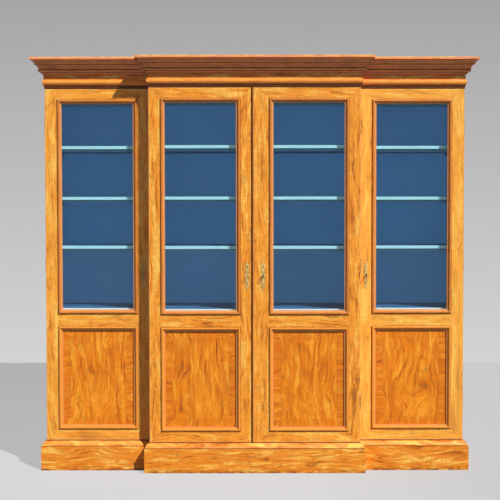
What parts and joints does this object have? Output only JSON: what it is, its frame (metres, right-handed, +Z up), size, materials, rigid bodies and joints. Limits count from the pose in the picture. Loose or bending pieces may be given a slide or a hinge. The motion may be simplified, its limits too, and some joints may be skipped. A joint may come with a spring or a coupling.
{
  "type": "breakfront glazed bookcase",
  "caption": "Breakfront bookcase with glazed doors over panelled doors, loose shelves, locks with keys, a stepped plinth and a moulded cornice.",
  "frame": {"origin": "centre of the bounding box's bottom face, on the floor under the plinth", "axes": "+X to the right across the front, +Y from the front to the back, +Z up"},
  "size_m": [2.399, 0.4996, 2.225],
  "materials": {
    "mahogany": "french polished",
    "dark_mahogany": "french polished",
    "panel_veneer": "figured veneer, polished",
    "cornice_wood": "french polished",
    "painted_interior": "satin paint",
    "bare_wood": "unfinished",
    "clear_glass": "clear",
    "aged_brass": "aged",
    "iron_key": "dark oxide",
    "steel_bolt": "worn"
  },
  "bodies": {
    "case": {"plinth_boards": "mahogany", "plinth_moulding": "mahogany", "cornice_moulding": "cornice_wood", "cornice_frieze": "cornice_wood", "cornice_bead": "dark_mahogany", "cornice_dust_boards": "bare_wood", "left_outer_side": "mahogany", "left_inner_side": "mahogany", "centre_left_side": "mahogany", "centre_right_side": "mahogany", "right_inner_side": "mahogany", "right_outer_side": "mahogany", "case_tops": "painted_interior", "case_bottoms": "bare_wood", "back_boards": "bare_wood", "left_shelves": "painted_interior", "centre_shelves": "painted_interior", "right_shelves": "painted_interior", "shelf_bearers": "painted_interior", "hinge_case_leaves": "aged_brass"},
    "left_wing_door": {"left_wing_door_frame": "mahogany", "left_wing_door_mouldings": "dark_mahogany", "left_wing_door_glass": "clear_glass", "left_wing_door_panel": "panel_veneer", "left_wing_door_beads": "dark_mahogany", "left_wing_door_hinge_leaves": "aged_brass", "left_wing_door_escutcheon": "aged_brass", "left_wing_door_lock": "aged_brass"},
    "centre_left_door": {"centre_left_door_frame": "mahogany", "centre_left_door_mouldings": "dark_mahogany", "centre_left_door_glass": "clear_glass", "centre_left_door_panel": "panel_veneer", "centre_left_door_beads": "dark_mahogany", "centre_left_door_hinge_leaves": "aged_brass", "centre_left_door_escutcheon": "aged_brass", "centre_left_door_edge_plates": "aged_brass"},
    "centre_right_door": {"centre_right_door_frame": "mahogany", "centre_right_door_mouldings": "dark_mahogany", "centre_right_door_glass": "clear_glass", "centre_right_door_panel": "panel_veneer", "centre_right_door_beads": "dark_mahogany", "centre_right_door_hinge_leaves": "aged_brass", "centre_right_door_escutcheon": "aged_brass", "centre_right_door_lock": "aged_brass"},
    "right_wing_door": {"right_wing_door_frame": "mahogany", "right_wing_door_mouldings": "dark_mahogany", "right_wing_door_glass": "clear_glass", "right_wing_door_panel": "panel_veneer", "right_wing_door_beads": "dark_mahogany", "right_wing_door_hinge_leaves": "aged_brass", "right_wing_door_escutcheon": "aged_brass", "right_wing_door_lock": "aged_brass"},
    "left_wing_lock_bolt": {"left_wing_lock_bolt": "aged_brass"},
    "centre_right_lock_bolt": {"centre_right_lock_bolt": "aged_brass"},
    "right_wing_lock_bolt": {"right_wing_lock_bolt": "aged_brass"},
    "centre_left_top_bolt": {"centre_left_top_bolt": "steel_bolt"},
    "centre_left_bottom_bolt": {"centre_left_bottom_bolt": "steel_bolt"},
    "centre_right_key": {"centre_right_key": "iron_key"},
    "right_wing_key": {"right_wing_key": "iron_key"}
  },
  "joints": [
    {"name": "left_wing_door_hinge", "type": "hinge", "parent": "case", "child": "left_wing_door", "pos_m": [-1.136, -0.09175, 0.162], "axis": [0, 0, -1], "range_deg": [0, 170]},
    {"name": "centre_left_door_hinge", "type": "hinge", "parent": "case", "child": "centre_left_door", "pos_m": [-0.5705, -0.15375, 0.162], "axis": [0, 0, -1], "range_deg": [0, 95]},
    {"name": "centre_right_door_hinge", "type": "hinge", "parent": "case", "child": "centre_right_door", "pos_m": [0.5705, -0.15375, 0.162], "axis": [0, 0, 1], "range_deg": [0, 95]},
    {"name": "right_wing_door_hinge", "type": "hinge", "parent": "case", "child": "right_wing_door", "pos_m": [1.136, -0.09175, 0.162], "axis": [0, 0, 1], "range_deg": [0, 170]},
    {"name": "centre_right_key_turn", "type": "hinge", "parent": "centre_right_door", "child": "centre_right_key", "pos_m": [0.0455, -0.18225, 1.06], "axis": [0, -1, 0], "range_deg": [0, 360]},
    {"name": "right_wing_key_turn", "type": "hinge", "parent": "right_wing_door", "child": "right_wing_key", "pos_m": [0.603, -0.12025, 1.06], "axis": [0, -1, 0], "range_deg": [0, 360]},
    {"name": "left_wing_lock_bolt_slide", "type": "slide", "parent": "left_wing_door", "child": "left_wing_lock_bolt", "axis": [1, 0, 0], "range_m": [0, 0.01]},
    {"name": "centre_right_lock_bolt_slide", "type": "slide", "parent": "centre_right_door", "child": "centre_right_lock_bolt", "axis": [-1, 0, 0], "range_m": [0, 0.01]},
    {"name": "right_wing_lock_bolt_slide", "type": "slide", "parent": "right_wing_door", "child": "right_wing_lock_bolt", "axis": [-1, 0, 0], "range_m": [0, 0.01]},
    {"name": "centre_left_top_bolt_slide", "type": "slide", "parent": "centre_left_door", "child": "centre_left_top_bolt", "axis": [0, 0, 1], "range_m": [0, 0.01]},
    {"name": "centre_left_bottom_bolt_slide", "type": "slide", "parent": "centre_left_door", "child": "centre_left_bottom_bolt", "axis": [0, 0, -1], "range_m": [0, 0.01]}
  ],
  "couplings": [
    {"joint": "centre_right_key_turn", "follows": "centre_right_lock_bolt_slide", "rad_per_m": 628.3},
    {"joint": "right_wing_key_turn", "follows": "right_wing_lock_bolt_slide", "rad_per_m": 628.3}
  ]
}
